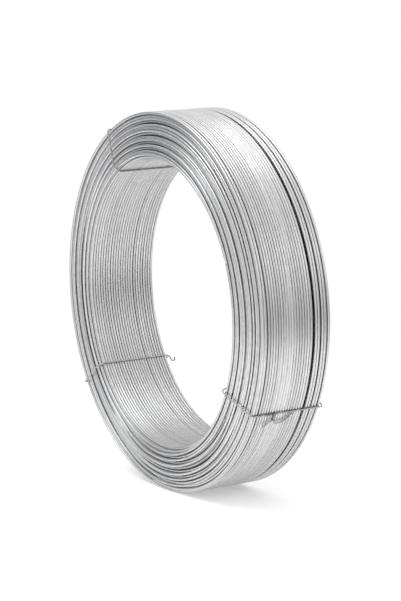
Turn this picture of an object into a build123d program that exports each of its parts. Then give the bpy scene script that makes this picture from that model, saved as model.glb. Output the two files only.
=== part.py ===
from build123d import *
import os
from math import atan2, cos, pi, sin, sqrt

# Sizes of the coil, in millimetres
wire_diameter = 1.8
layers = 16
layers_per_ridge = 2
bore_diameter = 182.0
rim_width = 49.5
near_overhang = 6.4
far_overhang = 1.8
inner_corner_radius = 4.0
shoulder_radius = 1.4
turn_groove_depth = 1.0

# Gaps between turns on the rim: place along the rim as a share of its width, from the near end
open_gap_width = 1.4
open_gap_depth = 1.8
open_gap_place_share = 0.74
seam_width = 0.9
seam_depth = 0.8
seam_place_shares = [0.06, 0.86]

# Sizes of the three tie wires, in millimetres, and their places round the coil in degrees
tie_diameter = 1.0
tie_clearance = 0.04
tie_bite = 0.65
tie_gap = 0.2
tie_sides = 6
twist_diameter = 1.8
twist_length = 4.5
tail_bend_radius = 1.5
short_tail = 7.0
short_tail_drop = 4.5
long_tail = 13.0
long_tail_turn = 3.0
long_tail_drop = 3.0
hook_lift = 1.7
hook_reach = 2.4
hook_drop = 4.2
hook_rise = 2.2
hook_bend_radius = 0.8
twist_place_share = 0.31
face_twist_share = 0.4
upper_tie_angle = 117.0
left_tie_angle = 211.7
right_tie_angle = 331.5

# Sizes that follow from the driving ones
bore_radius = bore_diameter / 2
rim_radius = bore_radius + layers * wire_diameter
winding_depth = rim_radius - bore_radius
half_rim = rim_width / 2
tie_radius = tie_diameter / 2
tie_offset = tie_radius + tie_clearance
rim_tie_radius = rim_radius + tie_offset
bore_tie_radius = bore_radius - tie_offset + tie_bite


# How far an end stands from the middle of the coil at a radius, before its corners are rounded
def end_line(radius, overhang):
    return half_rim + overhang * (rim_radius - radius) / winding_depth


# The same end with its inner corner and its shoulder rounded
def end_reach(radius, overhang):
    slope = atan2(overhang, winding_depth)
    inner_centre = bore_radius + inner_corner_radius
    outer_centre = rim_radius - shoulder_radius
    if radius < inner_centre + inner_corner_radius * sin(slope):
        middle = end_line(inner_centre, overhang) - inner_corner_radius / cos(slope)
        drop = inner_centre - radius
        return middle + sqrt(max(0, inner_corner_radius**2 - drop**2))
    if radius > outer_centre + shoulder_radius * sin(slope):
        middle = end_line(outer_centre, overhang) - shoulder_radius / cos(slope)
        rise = radius - outer_centre
        return middle + sqrt(max(0, shoulder_radius**2 - rise**2))
    return end_line(radius, overhang)


# One end of the winding from the bore out to the rim: ridges of turns with a valley between each two
def end_profile(overhang, side):
    points = [(bore_radius, side * end_reach(bore_radius, overhang))]
    ridges = layers // layers_per_ridge
    ridge_width = winding_depth / ridges
    for ridge in range(ridges):
        crest = bore_radius + (ridge + 0.5) * ridge_width
        points.append((crest, side * end_reach(crest, overhang)))
        valley = crest + ridge_width / 2
        if ridge < ridges - 1:
            points.append((valley, side * (end_reach(valley, overhang) - turn_groove_depth)))
    points.append((rim_radius, side * end_reach(rim_radius, overhang)))
    return points


# The rim from its near edge to its far edge, with the seams and the open gap
def rim_profile():
    gaps = []
    for share in seam_place_shares:
        place = rim_width * share - half_rim
        gaps.append((place, seam_width / 2, 0, seam_depth))
    place = rim_width * open_gap_place_share - half_rim
    gaps.append((place, open_gap_width / 2, open_gap_width / 4, open_gap_depth))
    points = []
    for place, half_mouth, half_floor, depth in sorted(gaps):
        points.append((rim_radius, place - half_mouth))
        points.append((rim_radius - depth, place - half_floor))
        if half_floor > 0:
            points.append((rim_radius - depth, place + half_floor))
        points.append((rim_radius, place + half_mouth))
    return points


# The winding: one turned solid about the Y axis
near_end = end_profile(near_overhang, -1)
far_end = end_profile(far_overhang, 1)
section = make_face(Polyline(near_end + rim_profile() + far_end[::-1], close=True))
winding = revolve(section, Axis.Y)


# The corner of a tie's loop where it leaves an end for the rim or the bore
def tie_corner(radius, overhang, side):
    slope = atan2(overhang, winding_depth)
    return (radius, side * (end_line(radius, overhang) + tie_offset / cos(slope)))


# A bar along a path
def bar(path, outline):
    start = Plane(origin=path @ 0, z_dir=path % 0)
    return sweep(start * outline, path=path)


# The outlines that run along a tie: the wire itself, drawn with few sides, and its seat in the turns
tie_outline = RegularPolygon(tie_radius, tie_sides)
seat_outline = Rectangle(tie_diameter + tie_clearance, tie_diameter + tie_clearance)


# The loop of one tie round the section, from its twist round two ends, the rim and the bore and back
def tie_loop(start, end, corners, outline):
    middle_radius = bore_radius + winding_depth / 2
    bends = []
    for corner in corners:
        if corner[0] > middle_radius:
            bends.append(shoulder_radius + tie_offset)
        else:
            bends.append(inner_corner_radius + tie_offset)
    return bar(FilletPolyline(start, *corners, end, radius=bends), outline)


# A tail of tie wire along a run of points in the frame of its tie
def tail(points):
    return bar(FilletPolyline(*points, radius=tail_bend_radius), tie_outline)


# The twist of a tie's two ends: a bar that lies along the turns, from a little behind the loop
def twist_bar(radius, place, run):
    foot = Plane(origin=(radius, place, -run * twist_diameter / 2), z_dir=(0, 0, run))
    return extrude(foot * RegularPolygon(twist_diameter / 2, tie_sides), twist_length)


# The twisted ends of a tie on the rim: the twist down the rim, and the two cut ends that leave it
def rim_twist(place, run):
    height = rim_radius + tie_clearance + twist_diameter / 2
    twist = twist_bar(height, place, run)
    start = (height, place, run * (twist_length - tie_diameter))
    short_end = (height, place - short_tail, run * (twist_length + short_tail_drop))
    ends = twist + bar(Line(start, short_end), tie_outline)
    turn = (height, place + long_tail_turn, run * (twist_length + long_tail_drop))
    long_end = (height, place + long_tail, run * tie_diameter)
    return ends + tail([start, turn, long_end])


# The hooked end of a tie at the far mouth of the bore, leaving the loop halfway round its bend
def bore_hook(run):
    bend = inner_corner_radius + tie_offset
    centre = bore_tie_radius + bend
    slope = atan2(far_overhang, winding_depth)
    height = centre - bend * sin(pi / 4)
    place = tie_corner(centre, far_overhang, 1)[1] - bend / cos(slope) + bend * cos(pi / 4)
    start = (height, place, 0)
    lift = (height, place + hook_lift, run * hook_lift / 2)
    drop = (height, place + hook_lift + tie_radius, run * hook_drop)
    turn = (height, place + hook_lift + tie_radius + hook_reach, run * hook_drop)
    end = (height, place + hook_lift + tie_diameter + hook_reach, run * (hook_drop - hook_rise))
    path = FilletPolyline(start, lift, drop, turn, end, radius=hook_bend_radius)
    return bar(path, tie_outline)


near_rim = tie_corner(rim_tie_radius, near_overhang, -1)
near_bore = tie_corner(bore_tie_radius, near_overhang, -1)
far_bore = tie_corner(bore_tie_radius, far_overhang, 1)
far_rim = tie_corner(rim_tie_radius, far_overhang, 1)

# Two ties are twisted together on the rim, and one on the far end
twist_place = rim_width * twist_place_share - half_rim
rim_start = (rim_tie_radius, twist_place - tie_gap / 2)
rim_end = (rim_tie_radius, twist_place + tie_gap / 2)
rim_corners = [near_rim, near_bore, far_bore, far_rim]
rim_loop = tie_loop(rim_start, rim_end, rim_corners, tie_outline)
seat = tie_loop(rim_start, rim_end, rim_corners, seat_outline)

face_radius = bore_radius + winding_depth * face_twist_share
face_start = tie_corner(face_radius - tie_gap / 2, far_overhang, 1)
face_end = tie_corner(face_radius + tie_gap / 2, far_overhang, 1)
face_corners = [far_bore, near_bore, near_rim, far_rim]
face_loop = tie_loop(face_start, face_end, face_corners, tie_outline)
face_height = tie_corner(face_radius, far_overhang, 1)[1] + (twist_diameter - tie_diameter) / 2
face_twist = twist_bar(face_radius, face_height, 1)

coil = winding
for angle in [upper_tie_angle, left_tie_angle, right_tie_angle]:
    coil = coil - seat.rotate(Axis.Y, -angle)

upper_tie = (rim_loop + rim_twist(twist_place, 1)).rotate(Axis.Y, -upper_tie_angle)
left_tie = (face_loop + face_twist + bore_hook(1)).rotate(Axis.Y, -left_tie_angle)
right_tie = (rim_loop + rim_twist(twist_place, -1)).rotate(Axis.Y, -right_tie_angle)

os.makedirs("parts", exist_ok=True)
export_step(coil, "parts/wire_coil.step")
export_step(upper_tie, "parts/upper_tie.step")
export_step(left_tie, "parts/left_tie.step")
export_step(right_tie, "parts/right_tie.step")
for piece in [coil, upper_tie, left_tie, right_tie]:
    print(len(piece.solids()), piece.is_valid, round(piece.volume, 1), piece.bounding_box())
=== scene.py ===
# %% [markdown]
# # A coil of galvanised wire
# The object is one long steel wire, drawn, dipped in zinc and wound in sixteen layers round an open bore,
# with three thin ties that keep the layers together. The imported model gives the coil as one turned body.
# Stripes of bump on that body would be quick, but its outline and its gaps would stay smooth. So real wires
# take its place here, laid turn by turn wherever a turn can be seen.

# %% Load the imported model
import bpy
import bmesh
import random
from math import atan2, cos, pi, radians, sin, sqrt
from mathutils import Matrix, Vector


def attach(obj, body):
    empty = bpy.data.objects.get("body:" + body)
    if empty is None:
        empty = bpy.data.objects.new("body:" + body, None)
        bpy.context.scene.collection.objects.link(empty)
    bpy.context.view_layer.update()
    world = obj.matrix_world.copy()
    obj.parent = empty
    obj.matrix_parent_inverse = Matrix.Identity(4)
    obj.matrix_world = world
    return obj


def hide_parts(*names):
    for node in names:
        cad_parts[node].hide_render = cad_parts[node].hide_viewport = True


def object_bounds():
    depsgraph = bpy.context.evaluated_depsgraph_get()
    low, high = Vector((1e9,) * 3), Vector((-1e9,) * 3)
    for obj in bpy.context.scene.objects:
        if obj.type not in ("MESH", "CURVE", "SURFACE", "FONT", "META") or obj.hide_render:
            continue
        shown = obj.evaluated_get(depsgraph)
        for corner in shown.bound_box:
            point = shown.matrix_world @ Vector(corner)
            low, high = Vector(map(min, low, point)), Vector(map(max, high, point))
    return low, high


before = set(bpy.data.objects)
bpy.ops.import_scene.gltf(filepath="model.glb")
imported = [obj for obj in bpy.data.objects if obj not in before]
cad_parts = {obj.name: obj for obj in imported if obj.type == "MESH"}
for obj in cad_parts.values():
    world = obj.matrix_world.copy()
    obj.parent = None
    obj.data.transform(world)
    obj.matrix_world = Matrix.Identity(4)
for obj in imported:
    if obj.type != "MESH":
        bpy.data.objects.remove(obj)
cad_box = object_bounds()

# %% [markdown]
# The winding repeats the sizes of the solid, in metres. An end of the coil isn't flat: the inner layers
# stand further out than the outer ones, and both corners of the section are rounded, so one function says
# how far an end stands from the middle of the coil at any radius.

# %% Sizes of the winding
MM = 0.001
wire = 1.8 * MM
layers = 16
bore_radius = 91 * MM
rim_radius = bore_radius + layers * wire
depth = rim_radius - bore_radius
half_rim = 24.75 * MM
near_overhang = 6.4 * MM
far_overhang = 1.8 * MM
inner_corner = 4.0 * MM
shoulder = 1.4 * MM


def end_line(radius, overhang):
    return half_rim + overhang * (rim_radius - radius) / depth


def end_reach(radius, overhang):
    slope = atan2(overhang, depth)
    inner = bore_radius + inner_corner
    outer = rim_radius - shoulder
    if radius < inner + inner_corner * sin(slope):
        rounding = sqrt(max(0, inner_corner**2 - (inner - radius)**2))
        return end_line(inner, overhang) - inner_corner / cos(slope) + rounding
    if radius > outer + shoulder * sin(slope):
        rounding = sqrt(max(0, shoulder**2 - (radius - outer)**2))
        return end_line(outer, overhang) - shoulder / cos(slope) + rounding
    return end_line(radius, overhang)


print("near end stands out mm", end_reach(bore_radius, near_overhang) / MM, "at the bore")

# %% [markdown]
# Layers settle into the hollows of the layer below, so they lie closer than one wire thickness. What that
# saves is left as gaps between bundles of layers, which show as crisp dark rings on the ends. The table
# gives the layer before each gap, counted from the bore, and the gap in millimetres.

# %% Places of the layers
layer_gaps = {2: 0.3, 4: 0.4, 7: 0.6, 9: 0.2, 11: 0.6, 14: 0.5}
nested_pitch = (depth - wire - sum(layer_gaps.values()) * MM) / (layers - 1)


def layer_radius(layer):
    slack = sum(size for after, size in layer_gaps.items() if after < layer) * MM
    return bore_radius + wire / 2 + layer * nested_pitch + slack


def layer_ends(layer):
    near = wire / 2 - end_reach(layer_radius(layer), near_overhang)
    far = end_reach(layer_radius(layer), far_overhang) - wire / 2
    return near, far


print("layer pitch mm", nested_pitch / MM, "last layer mm", layer_radius(layers - 1) / MM)

# %% [markdown]
# The coil has been pushed a little askew: on the near end its inner layers stand well out on the right, and
# lie further back on the left. Each turn could be bent by itself, but one small warp of the finished meshes
# moves turns and ties alike, so that what touches stays touching. It is nothing at the rim and at the far
# end.

# %% Lean of the inner layers
lean = 4.2 * MM
near_limit, far_limit = -half_rim - near_overhang, half_rim + far_overhang


def settle(bm):
    for v in bm.verts:
        radius = max(wire, sqrt(v.co.x**2 + v.co.z**2))
        inward = min(1.0, max(0.0, (rim_radius - radius) / depth))
        nearness = min(1.0, max(0.0, (far_limit - v.co.y) / (far_limit - near_limit)))
        v.co.y += lean * inward * nearness * (1 - v.co.x / radius) / 2


print("lean mm", lean / MM)

# %% [markdown]
# Every wire here ends up as a piece in the same way: open ends are capped, the lean is applied, the normals
# are turned outwards, and the round sides are shaded smooth while the caps stay flat.

# %% Make a piece
def make_piece(name, bm, sides):
    bmesh.ops.holes_fill(bm, edges=[e for e in bm.edges if e.is_boundary], sides=sides)
    settle(bm)
    bmesh.ops.recalc_face_normals(bm, faces=bm.faces)
    for f in bm.faces:
        f.smooth = len(f.verts) == 4
    mesh = bpy.data.meshes.new(name)
    bm.to_mesh(mesh)
    bm.free()
    piece = bpy.data.objects.new(name, mesh)
    bpy.context.scene.collection.objects.link(piece)
    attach(piece, "root")
    print(name, len(mesh.polygons) * 2, "triangles")
    return piece


# %% [markdown]
# A turn of wire is a circle swept round the axis while it creeps along it. A curve with a round bevel could
# be that wire too, but in a spun mesh each ring of vertices can be moved by itself. In bmesh.ops.spin, dvec
# is the creep at each step. One turn is spun and then repeated along the axis by its own creep, so that the
# turns of a layer join end to end into one wire. Four things then move it off the perfect helix: slow waves,
# because no two turns of a real coil lie quite alike; jumps along the axis, where the winder left a gap and
# the wire crosses it; a dive at both ends, where the wire goes down into the layers; and fans, which set a
# layer back over part of the way round, where the real coil opens a little.

# %% Lay turns of wire
steps_per_turn = 144
wire_sides = 10
dive_share = 0.12
dive_depth = 1.2 * wire
merge_within = wire / 60
waves_per_turn = (0.93, 1.96, 3.05, 5.02)
wander = random.Random(11)


def soft_wave(amount):
    waves = [(k, wander.uniform(0, 2 * pi), wander.uniform(0.4, 1.0) / k**0.5) for k in waves_per_turn]
    total = sum(size for _, _, size in waves)
    return lambda angle: amount * sum(size * sin(k * angle + phase) for k, phase, size in waves) / total


def ease(x):
    x = min(1.0, max(0.0, x))
    return x * x * (3 - 2 * x)


def spin_turns(bm, radius, start, pitch, turns, first_angle):
    bmesh.ops.create_circle(bm, segments=wire_sides, radius=wire / 2,
                            matrix=Matrix.Translation((radius, start, 0)))
    bmesh.ops.transform(bm, matrix=Matrix.Rotation(-first_angle, 4, "Y"), verts=bm.verts)
    bmesh.ops.spin(bm, geom=bm.edges[:], cent=(0, 0, 0), axis=(0, -1, 0),
                   dvec=(0, pitch / steps_per_turn, 0), angle=2 * pi, steps=steps_per_turn)
    one_turn = bpy.data.meshes.new("one_turn")
    bm.to_mesh(one_turn)
    bm.clear()
    for turn in range(turns):
        one_turn.transform(Matrix.Translation((0, pitch * min(turn, 1), 0)))
        bm.from_mesh(one_turn)
    bpy.data.meshes.remove(one_turn)


def lay_turns(target, radius, start, pitch, turns, first_angle, along, across, jumps, dive, fans=()):
    bm = bmesh.new()
    spin_turns(bm, radius, start, pitch, turns, first_angle)
    push = soft_wave(along)
    lift = soft_wave(across)
    moves = []
    for ring in range(turns * steps_per_turn + 1):
        turn = ring / steps_per_turn
        jump = sum(size * ease((turn - place) / span) for place, size, span in jumps)
        end = 1 - ease(min(turn, turns - turn) / dive_share)
        spread = 0.0
        for middle, reach, size in fans:
            off = (first_angle + 2 * pi * turn - middle + pi) % (2 * pi) - pi
            spread += size * ease(1 - abs(off) / reach)
        out = lift(2 * pi * turn) + dive[0] * end
        on = push(2 * pi * turn) + jump + spread + dive[1] * end
        moves.append((out, on))
    for index, v in enumerate(bm.verts):
        turn, ring = divmod(index // wire_sides, steps_per_turn + 1)
        out, on = moves[turn * steps_per_turn + ring]
        v.co += Vector((v.co.x, 0, v.co.z)).normalized() * out + Vector((0, on, 0))
    bmesh.ops.remove_doubles(bm, verts=bm.verts, dist=merge_within)
    mesh = bpy.data.meshes.new("turns")
    bm.to_mesh(mesh)
    bm.free()
    target.append(mesh)


def join_turns(name, meshes):
    bm = bmesh.new()
    for mesh in meshes:
        bm.from_mesh(mesh)
        bpy.data.meshes.remove(mesh)
    return make_piece(name, bm, wire_sides)


print("a turn has", steps_per_turn * wire_sides * 2, "triangles")

# %% [markdown]
# The rim shows the last layer. Two turns lie by themselves at the near edge, then come seventeen tight
# turns, a wide dark gap, and looser pairs to the far edge. The layer under it has the same gap, which is why
# the gap looks black. The wire crosses its gaps at one place, at the bottom, where the coil stands on it.
# Each jump is where it begins, in turns, its size in wires and the share of a turn that it takes.

# %% Turns on the rim
crossing = radians(262)
short = 0.11
rim_layer_turns = 24
rim_wave = 0.12 * MM
last_layer = [(0.05, -0.5, 0.9), (0.95, 0.4, short), (1.95, 0.35, short), (18.95, 0.9, short),
              (20.95, 0.45, short), (22.95, 0.4, short)]
layer_below = [(0.95, 0.15, short), (18.95, 1.2, short), (20.95, 0.4, short)]
rim_turns = []
for layer, shift, steps_aside in ((layers - 1, 0.0, last_layer), (layers - 2, 0.5, layer_below)):
    near, far = layer_ends(layer)
    jumps = [(place, size * wire, span) for place, size, span in steps_aside]
    pitch = (far - near - sum(size for _, size, _ in jumps) - shift * wire) / rim_layer_turns
    lay_turns(rim_turns, layer_radius(layer), near + shift * wire, pitch, rim_layer_turns, crossing,
              rim_wave, 0.0, jumps, (-dive_depth, 0))
rim_wires = join_turns("rim_turns", rim_turns)
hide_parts("wire_coil")

# %% [markdown]
# The bore shows the first layer, wound tight on the former, with four places where two turns stand a little
# apart. At the near mouth the first layer starts half a wire late, and the step from it up to the second
# layer is the strong dark line along the edge of the bore.

# %% Turns in the bore
bore_start = radians(20)
bore_wave = 0.15 * MM
loosest_pitch = 1.05 * wire
apart = ((7.9, 0.1), (10.9, 0.06), (16.9, 0.12), (20.9, 0.05))
bore_turns = []
for layer, starts_late in ((0, 0.5), (1, 0.0)):
    near, far = layer_ends(layer)
    near += starts_late * wire
    jumps = [(place, size * wire, short) for place, size in apart]
    turns = int((far - near) / loosest_pitch) - 1
    pitch = (far - near - sum(size for _, size, _ in jumps)) / turns
    lay_turns(bore_turns, layer_radius(layer), near, pitch, turns, bore_start, bore_wave, 0.0, jumps,
              (dive_depth, 0))
bore_wires = join_turns("bore_turns", bore_turns)

# %% [markdown]
# On the ends each layer shows its last turn. Some layers stop short of their neighbours, and there the end
# has a dark ring. At the top and on the left some layers drop back behind the ones outside them, and the
# next ones inwards come up again, at once or in steps. Each table gives a layer, counted from the bore, and
# how far it is set back, in wires. The wire of each layer starts at a place of its own, low on the coil.
# Three turns of a layer are enough for nothing to show through, and the rest of it would never be seen.

# %% Turns on the two ends
short_by = {3: 0.2, 5: 0.3, 8: 0.45, 12: 0.4}
odd_layers_by = 0.12
at_top = {3: 0.6, 5: 0.7, 7: 0.4, 8: 0.7, 10: 0.6, 12: 0.7, 13: 0.3}
at_left = {2: 0.5, 3: 0.8, 5: 0.4, 6: 0.8, 10: 0.3, 11: 0.55, 12: 0.8}
top_middle, top_spread = radians(104), radians(62)
left_middle, left_spread = radians(195), radians(85)
start_from, start_to = radians(215), radians(300)
end_turns = 3
end_pitch = 0.99 * wire
end_wave, end_lift = 0.3 * MM, 0.06 * MM
near_turns = []
far_turns = []
for layer in range(2, layers - 2):
    near, far = layer_ends(layer)
    stagger = (odd_layers_by if layer % 2 else 0.0) * wire + short_by.get(layer, 0) * wire
    spot = wander.uniform(start_from, start_to)
    for target, start, side in ((near_turns, near + stagger, 1), (far_turns, far - stagger, -1)):
        fans = [(top_middle, top_spread, side * at_top.get(layer, 0) * wire),
                (left_middle, left_spread, side * at_left.get(layer, 0) * wire)]
        lay_turns(target, layer_radius(layer), start, side * end_pitch, end_turns, spot, end_wave, end_lift,
                  (), (0, side * dive_depth), fans)
near_wires = join_turns("near_end_turns", near_turns)
far_wires = join_turns("far_end_turns", far_turns)

# %% [markdown]
# A tie is one thin soft wire round the section of the coil, with its two ends twisted together. A bevelled
# curve could follow it, but its bends wouldn't be true arcs. So a circle is drawn along straight runs by
# extrude and round the bends by spin, and one function makes loops and tails. The twist is two thin circles
# spun round their common middle while they move on.

# %% Draw tie wire
tie = 1.0 * MM
tie_sides = 8
bend_step = radians(15)
strand_radius = tie * 0.48
twist_length, twist_turns, steps_per_twist = 4.2 * MM, 1.5, 16


def start_ring(bm, matrix, radius):
    ring = bmesh.ops.create_circle(bm, segments=tie_sides, radius=radius, matrix=matrix)["verts"]
    return list({e for v in ring for e in v.link_edges})


def draw_wire(bm, points, bends):
    points = [Vector(p) for p in points]
    ways = [(b - a).normalized() for a, b in zip(points, points[1:])]
    turn = ways[0].to_track_quat("Z", "Y").to_matrix().to_4x4()
    edges = start_ring(bm, Matrix.Translation(points[0]) @ turn, tie / 2)
    here = points[0]
    for i, way in enumerate(ways):
        bend = bends[i] if i < len(bends) else 0
        stop = points[i + 1]
        if bend:
            angle = way.angle(ways[i + 1])
            stop = stop - way * bend * (sin(angle) / (1 + cos(angle)))
        made = bmesh.ops.extrude_edge_only(bm, edges=edges)["geom"]
        verts = [g for g in made if isinstance(g, bmesh.types.BMVert)]
        bmesh.ops.translate(bm, verts=verts, vec=stop - here)
        inside = set(verts)
        edges = [g for g in made if isinstance(g, bmesh.types.BMEdge) and set(g.verts) <= inside]
        here = stop
        if bend:
            axis = way.cross(ways[i + 1]).normalized()
            cent = here + axis.cross(way) * bend
            last = bmesh.ops.spin(bm, geom=edges, cent=cent, axis=axis, angle=angle,
                                  steps=max(3, round(angle / bend_step)))["geom_last"]
            edges = [g for g in last if isinstance(g, bmesh.types.BMEdge)]
            here = cent + Matrix.Rotation(angle, 3, axis) @ (here - cent)


def twist_strands(bm, cent, way):
    steps = round(twist_turns * steps_per_twist)
    for side in (-1, 1):
        start = Vector(cent) + Vector((0, side * strand_radius, 0))
        edges = start_ring(bm, Matrix.Translation(start), strand_radius)
        bmesh.ops.spin(bm, geom=edges, cent=cent, axis=(0, 0, 1), dvec=(0, 0, way * twist_length / steps),
                       angle=2 * pi * twist_turns, steps=steps)


def finish_tie(name, bm, angle):
    turn = Matrix.Rotation(-radians(angle), 3, "Y")
    bmesh.ops.rotate(bm, verts=bm.verts, cent=(0, 0, 0), matrix=turn)
    piece = make_piece(name + "_wire", bm, tie_sides)
    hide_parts(name)
    return piece


print("tie wire mm", tie / MM)

# %% [markdown]
# A tie lies close round the four sides of the section and bites a little into the soft bundle in the bore.
# Its corners are found from the same end line as the turns, so it follows the slope of both ends. It is
# drawn at angle 0, on the right of the coil, and then turned to its place, in degrees.

# %% Corners of a tie
upper_tie_angle, left_tie_angle, right_tie_angle = 117.0, 211.7, 331.5
tie_offset = 0.54 * MM
tie_bite = 0.65 * MM
bite_share = 0.4


def tie_corner(radius, overhang, side):
    clear = tie_offset / cos(atan2(overhang, depth))
    return Vector((radius, side * (end_line(radius, overhang) + clear), 0))


rim_line = rim_radius + tie_offset
bore_line = bore_radius - tie_offset + bite_share * tie_bite
near_rim, far_rim = tie_corner(rim_line, near_overhang, -1), tie_corner(rim_line, far_overhang, 1)
near_bore, far_bore = tie_corner(bore_line, near_overhang, -1), tie_corner(bore_line, far_overhang, 1)
outer_bend, inner_bend = shoulder + tie_offset, inner_corner + tie_offset
print("tie at the rim mm", rim_line / MM, "in the bore mm", bore_line / MM)

# %% [markdown]
# The upper and the right tie are twisted together on the rim. Two cut ends leave the twist there: a short
# straight one, and a long one that curls back over. Their points are millimetres across the rim from the
# twist, and down the rim.

# %% The two ties with their twist on the rim
half_gap = 0.3 * MM
twist_back = 0.4 * MM
twist_share = 0.31
twist_place = 2 * half_rim * twist_share - half_rim
tail_height = rim_radius + 0.94 * MM
short_tail = ((-0.2, 3.6), (-7, 8.6))
long_tail = ((0.2, 3.4), (1.4, 7.6), (8, 6.0), (13, 0.8))
long_tail_bends = [1.8 * MM, 4 * MM]


def rim_tie(name, angle, way):
    bm = bmesh.new()
    start = Vector((rim_line, twist_place - half_gap, 0))
    end = Vector((rim_line, twist_place + half_gap, 0))
    draw_wire(bm, [start, near_rim, near_bore, far_bore, far_rim, end],
              [outer_bend, inner_bend, inner_bend, outer_bend])
    twist_strands(bm, (tail_height, twist_place, -twist_back * way), way)
    for tail, bends in ((short_tail, []), (long_tail, long_tail_bends)):
        points = [(tail_height, twist_place + over * MM, down * MM * way) for over, down in tail]
        draw_wire(bm, points, bends)
    return finish_tie(name, bm, angle)


upper_wire = rim_tie("upper_tie", upper_tie_angle, 1)
right_wire = rim_tie("right_tie", right_tie_angle, -1)

# %% [markdown]
# The left tie is twisted together on the far end, out of sight. One cut end stays as a small hook that
# stands out of the far mouth of the bore. Its points are millimetres along the axis from the middle of the
# tie's bend there, and round the bore.

# %% The tie with a hook
face_share = 0.4
face_radius = bore_radius + depth * face_share
hook = ((0, 0), (1.7, 0.85), (2.2, 4.2), (4.5, 4.2), (5.0, 2.0))
hook_bend = 0.8 * MM
bm = bmesh.new()
face_start = tie_corner(face_radius - half_gap, far_overhang, 1)
face_end = tie_corner(face_radius + half_gap, far_overhang, 1)
draw_wire(bm, [face_start, far_bore, near_bore, near_rim, far_rim, face_end],
          [inner_bend, inner_bend, outer_bend, outer_bend])
twist_strands(bm, (face_radius, face_start.y + half_gap, -twist_back), 1)
centre = bore_line + inner_bend
bend_back = inner_bend / cos(atan2(far_overhang, depth))
hook_r = centre - inner_bend * sin(pi / 4)
hook_y = tie_corner(centre, far_overhang, 1).y - bend_back + inner_bend * cos(pi / 4)
draw_wire(bm, [(hook_r, hook_y + on * MM, aside * MM) for on, aside in hook], [hook_bend] * 3)
left_wire = finish_tie("left_tie", bm, left_tie_angle)

# %% [markdown]
# The finish is zinc on drawn steel: a bright grey metal that has dulled a little and unevenly. Its tone
# follows a soft noise, in patches some millimetres long, and a second noise that changes from turn to turn,
# because each turn took the zinc a little differently. Its roughness follows the patches. Shade is painted
# into the colour as well: a narrow ambient occlusion darkens the grooves between turns and the places where
# ties and turns touch, where shade falls, so the painted shade follows the turns however they waver, as
# stripes could not. This painted shade is darkest on the ends, where the grooves go deep between the layers,
# and palest in the bore. The ties are annealed, which leaves them soft and a darker grey.

# %% Colours and nodes
def srgb(text):
    parts = [int(text[i:i + 2], 16) / 255 for i in (1, 3, 5)]
    return tuple(p / 12.92 if p <= 0.04045 else ((p + 0.055) / 1.055)**2.4 for p in parts) + (1.0,)


def add(tree, kind, settings=None, links=None):
    node = tree.nodes.new(kind)
    for key, value in (settings or {}).items():
        if isinstance(key, str) and hasattr(node, key):
            setattr(node, key, value)
        else:
            node.inputs[key].default_value = value
    for key, source in (links or {}).items():
        tree.links.new(source, node.inputs[key])
    return node


print("white in linear light", srgb("#ffffff"))

# %% Galvanised wire
patch = 3 * MM
turn_scale = 0.6 / wire
turn_share = 0.6
noise_low, noise_high = 0.3, 0.7
# Reach and strength of the painted shade in the grooves and where ties touch the turns
painted_shade_reach = 1.0 * MM
painted_shade_full, painted_shade_none = 0.12, 0.55
dullest_roughness, brightest_roughness = 0.40, 0.32


def zinc_finish(name, dull, bright, painted_groove_shade):
    material = bpy.data.materials.new(name)
    material.use_nodes = True
    tree = material.node_tree
    shader = tree.nodes["Principled BSDF"]
    shader.inputs["Metallic"].default_value = 1.0
    place = add(tree, "ShaderNodeTexCoord")
    patches = add(tree, "ShaderNodeTexNoise", {"Scale": 1 / patch, "Detail": 4.0, "Roughness": 0.6},
                  {"Vector": place.outputs["Object"]})
    # Radius and place along the axis, added, change from one turn to the next on rim, bore and ends alike
    flat = add(tree, "ShaderNodeVectorMath", {"operation": "MULTIPLY", 1: (1, 0, 1)},
               {0: place.outputs["Object"]})
    radius = add(tree, "ShaderNodeVectorMath", {"operation": "LENGTH"}, {0: flat.outputs[0]})
    parts = add(tree, "ShaderNodeSeparateXYZ", {}, {0: place.outputs["Object"]})
    across = add(tree, "ShaderNodeMath", {"operation": "ADD"},
                 {0: radius.outputs["Value"], 1: parts.outputs["Y"]})
    each_turn = add(tree, "ShaderNodeTexNoise",
                    {"noise_dimensions": "1D", "Scale": turn_scale, "Detail": 2.0},
                    {"W": across.outputs[0]})
    blend = add(tree, "ShaderNodeMix", {0: turn_share},
                {2: patches.outputs["Fac"], 3: each_turn.outputs["Fac"]})
    share = add(tree, "ShaderNodeMapRange", {"From Min": noise_low, "From Max": noise_high},
                {"Value": blend.outputs[0]})
    tone = add(tree, "ShaderNodeMix", {"data_type": "RGBA", 6: srgb(dull), 7: srgb(bright)},
               {0: share.outputs["Result"]})
    # Painted shade: where ambient occlusion finds a groove or a touching tie, the colour goes towards the
    # shade colour
    groove_occlusion = add(tree, "ShaderNodeAmbientOcclusion", {"samples": 4, "Distance": painted_shade_reach})
    unshaded_share = add(tree, "ShaderNodeMapRange", {"From Min": painted_shade_full, "From Max": painted_shade_none},
                {"Value": groove_occlusion.outputs["AO"]})
    colour = add(tree, "ShaderNodeMix", {"data_type": "RGBA", 6: srgb(painted_groove_shade)},
                 {0: unshaded_share.outputs["Result"], 7: tone.outputs[2]})
    rough = add(tree, "ShaderNodeMapRange",
                {"From Min": noise_low, "From Max": noise_high,
                 "To Min": dullest_roughness, "To Max": brightest_roughness},
                {"Value": patches.outputs["Fac"]})
    tree.links.new(colour.outputs[2], shader.inputs["Base Color"])
    tree.links.new(rough.outputs["Result"], shader.inputs["Roughness"])
    return material


# Each finish: its name, its dull and bright tone, the colour of its painted groove shade, and its pieces
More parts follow.
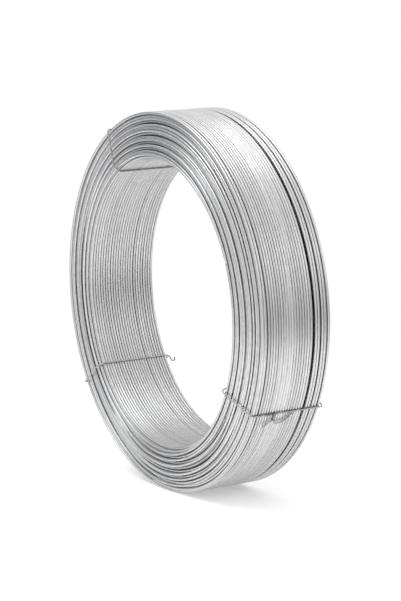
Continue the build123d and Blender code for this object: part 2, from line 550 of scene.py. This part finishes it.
finishes = (("galvanised_wire_on_the_rim", "#bfbfc0", "#dcdcdc", "#6c6d6e", (rim_wires,)),
            ("galvanised_wire_on_the_ends", "#b0b0b1", "#e6e6e6", "#2c2d2e", (near_wires, far_wires)),
            ("galvanised_wire_in_the_bore", "#c4c4c5", "#e2e2e2", "#a6a7a8", (bore_wires,)),
            ("soft_tie_wire", "#8e8f90", "#bebebe", "#4a4b4c", (upper_wire, left_wire, right_wire)))
for name, dull, bright, painted_groove_shade, pieces in finishes:
    finish = zinc_finish(name, dull, bright, painted_groove_shade)
    for piece in pieces:
        piece.data.materials.append(finish)
    print(name, "on", [piece.name for piece in pieces])

# %% [markdown]
# The coil stands on a round sheet of matt white paper. A white world alone would leave it floating, and the
# paper keeps its shadow. The paper glows just enough, for the camera and for reflections, to reach white
# where nothing shades it. Its edge fades out, so that no line shows where the paper ends.

# %% Floor
paper_radius = 0.62
bm = bmesh.new()
bmesh.ops.create_circle(bm, cap_ends=True, segments=96, radius=paper_radius)
bmesh.ops.translate(bm, verts=bm.verts, vec=(0, 0, cad_box[0][2]))
mesh = bpy.data.meshes.new("floor")
bm.to_mesh(mesh)
bm.free()
floor = bpy.data.objects.new("floor", mesh)
bpy.context.scene.collection.objects.link(floor)
print("floor at mm", cad_box[0][2] / MM)

# %% White paper
paper_glow = 0.3
fade_from, fade_to = 0.3, 0.6
paper = bpy.data.materials.new("white_paper")
paper.use_nodes = True
tree = paper.node_tree
shader = tree.nodes["Principled BSDF"]
shader.inputs["Base Color"].default_value = srgb("#f2f2f2")
shader.inputs["Roughness"].default_value = 0.95
shader.inputs["Specular IOR Level"].default_value = 0.0
shader.inputs["Emission Color"].default_value = (1, 1, 1, 1)
rays = add(tree, "ShaderNodeLightPath")
seen = add(tree, "ShaderNodeMath", {"operation": "MAXIMUM"},
           {0: rays.outputs["Is Camera Ray"], 1: rays.outputs["Is Glossy Ray"]})
seen = add(tree, "ShaderNodeMath", {"operation": "MAXIMUM"},
           {0: seen.outputs[0], 1: rays.outputs["Is Transmission Ray"]})
glow = add(tree, "ShaderNodeMath", {"operation": "MULTIPLY", 1: paper_glow}, {0: seen.outputs[0]})
tree.links.new(glow.outputs[0], shader.inputs["Emission Strength"])
place = add(tree, "ShaderNodeTexCoord")
flat = add(tree, "ShaderNodeVectorMath", {"operation": "MULTIPLY", 1: (1, 1, 0)},
           {0: place.outputs["Object"]})
reach = add(tree, "ShaderNodeVectorMath", {"operation": "LENGTH"}, {0: flat.outputs[0]})
fade = add(tree, "ShaderNodeMapRange",
           {"interpolation_type": "SMOOTHSTEP", "From Min": fade_from, "From Max": fade_to},
           {"Value": reach.outputs["Value"]})
clear = add(tree, "ShaderNodeBsdfTransparent")
sheet = add(tree, "ShaderNodeMixShader", {},
            {0: fade.outputs[0], 1: shader.outputs[0], 2: clear.outputs[0]})
tree.links.new(sheet.outputs[0], tree.nodes["Material Output"].inputs["Surface"])
floor.data.materials.append(paper)
print("paper fades from m", fade_from, "to m", fade_to)

# %% [markdown]
# The studio is white nearly all round and overhead. Low down on the right the room is darker, and the wire
# shows that as the soft dark band across the middle of the rim and of the bore. A grey screen on the left
# does the same for the near end, whose turns would otherwise melt into the white. Dark boards could stand
# there, but drawn in the world they cast no shadow on the paper.

# %% Studio
dark_room, grey_screen = srgb("#646769"), srgb("#a0a4a8")
dark_way = Vector((cos(radians(31)), sin(radians(31)), 0))
dark_side_from, dark_side_to = 0.3, 0.8
dark_below = 0.22
dark_core, dark_edge = 0.05, 0.34
screen_way = Vector((-0.86, -0.5, 0.06)).normalized()
screen_from, screen_to = 0.8, 0.98
scene = bpy.context.scene
scene.view_settings.view_transform = "Standard"
world = bpy.data.worlds.new("studio")
scene.world = world
world.use_nodes = True
tree = world.node_tree
way = add(tree, "ShaderNodeTexCoord")
parts = add(tree, "ShaderNodeSeparateXYZ", {}, {0: way.outputs["Generated"]})
level = add(tree, "ShaderNodeMath", {"operation": "ADD", 1: dark_below}, {0: parts.outputs["Z"]})
level = add(tree, "ShaderNodeMath", {"operation": "ABSOLUTE"}, {0: level.outputs[0]})
low = add(tree, "ShaderNodeMapRange",
          {"interpolation_type": "SMOOTHSTEP", "From Min": dark_core, "From Max": dark_edge,
           "To Min": 1.0, "To Max": 0.0}, {"Value": level.outputs[0]})
side = add(tree, "ShaderNodeVectorMath", {"operation": "DOT_PRODUCT", 1: dark_way},
           {0: way.outputs["Generated"]})
front = add(tree, "ShaderNodeMapRange",
            {"interpolation_type": "SMOOTHSTEP", "From Min": dark_side_from, "From Max": dark_side_to},
            {"Value": side.outputs["Value"]})
dark = add(tree, "ShaderNodeMath", {"operation": "MULTIPLY"}, {0: low.outputs[0], 1: front.outputs[0]})
colour = add(tree, "ShaderNodeMix", {"data_type": "RGBA", 6: (1, 1, 1, 1), 7: dark_room},
             {0: dark.outputs[0]})
left = add(tree, "ShaderNodeVectorMath", {"operation": "DOT_PRODUCT", 1: screen_way},
           {0: way.outputs["Generated"]})
screen = add(tree, "ShaderNodeMapRange",
             {"interpolation_type": "SMOOTHSTEP", "From Min": screen_from, "From Max": screen_to},
             {"Value": left.outputs["Value"]})
colour = add(tree, "ShaderNodeMix", {"data_type": "RGBA", 7: grey_screen},
             {0: screen.outputs[0], 6: colour.outputs[2]})
tree.links.new(colour.outputs[2], tree.nodes["Background"].inputs["Color"])
tree.nodes["Background"].inputs["Strength"].default_value = 1.0
print("world", world.name)

# %% [markdown]
# One large soft lamp overhead gives the shadow on the paper, and a smaller one on the right lifts the upper
# part of the dark band a little.

# %% Lamps
def lamp(name, place, size, power):
    light = bpy.data.lights.new(name, "AREA")
    light.shape = "RECTANGLE"
    light.size, light.size_y = size
    light.energy = power
    holder = bpy.data.objects.new(name, light)
    holder.location = place
    holder.rotation_euler = (-Vector(place)).to_track_quat("-Z", "Y").to_euler()
    scene.collection.objects.link(holder)
    print(name, power, "W")


lamp("top_light", place=(-0.2, -0.5, 1.4), size=(0.9, 0.9), power=7)
lamp("side_light", place=(1.15, 0.75, 0.6), size=(0.8, 0.4), power=1.4)

# %% [markdown]
# The camera stands well back with a long lens, a little above the middle of the coil and turned far to the
# right, as the photograph shows it. Azimuth 0 looks along +Y, straight at the near end.

# %% Camera
azimuth, elevation, roll = radians(58.99), radians(7.79), radians(-2.26)
aim = Vector((0, 6.3 * MM, -1.5 * MM))
distance = 1.345
back = Vector((sin(azimuth) * cos(elevation), -cos(azimuth) * cos(elevation), sin(elevation)))
eye = bpy.data.cameras.new("camera")
eye.sensor_width = 36
eye.lens = 127.1
eye.clip_start = 0.01
camera = bpy.data.objects.new("camera", eye)
camera.location = aim + back * distance
turned = (-back).to_track_quat("-Z", "Y").to_matrix() @ Matrix.Rotation(roll, 3, "Z")
camera.rotation_euler = turned.to_euler()
scene.collection.objects.link(camera)
scene.camera = camera
print("camera at", tuple(camera.location))
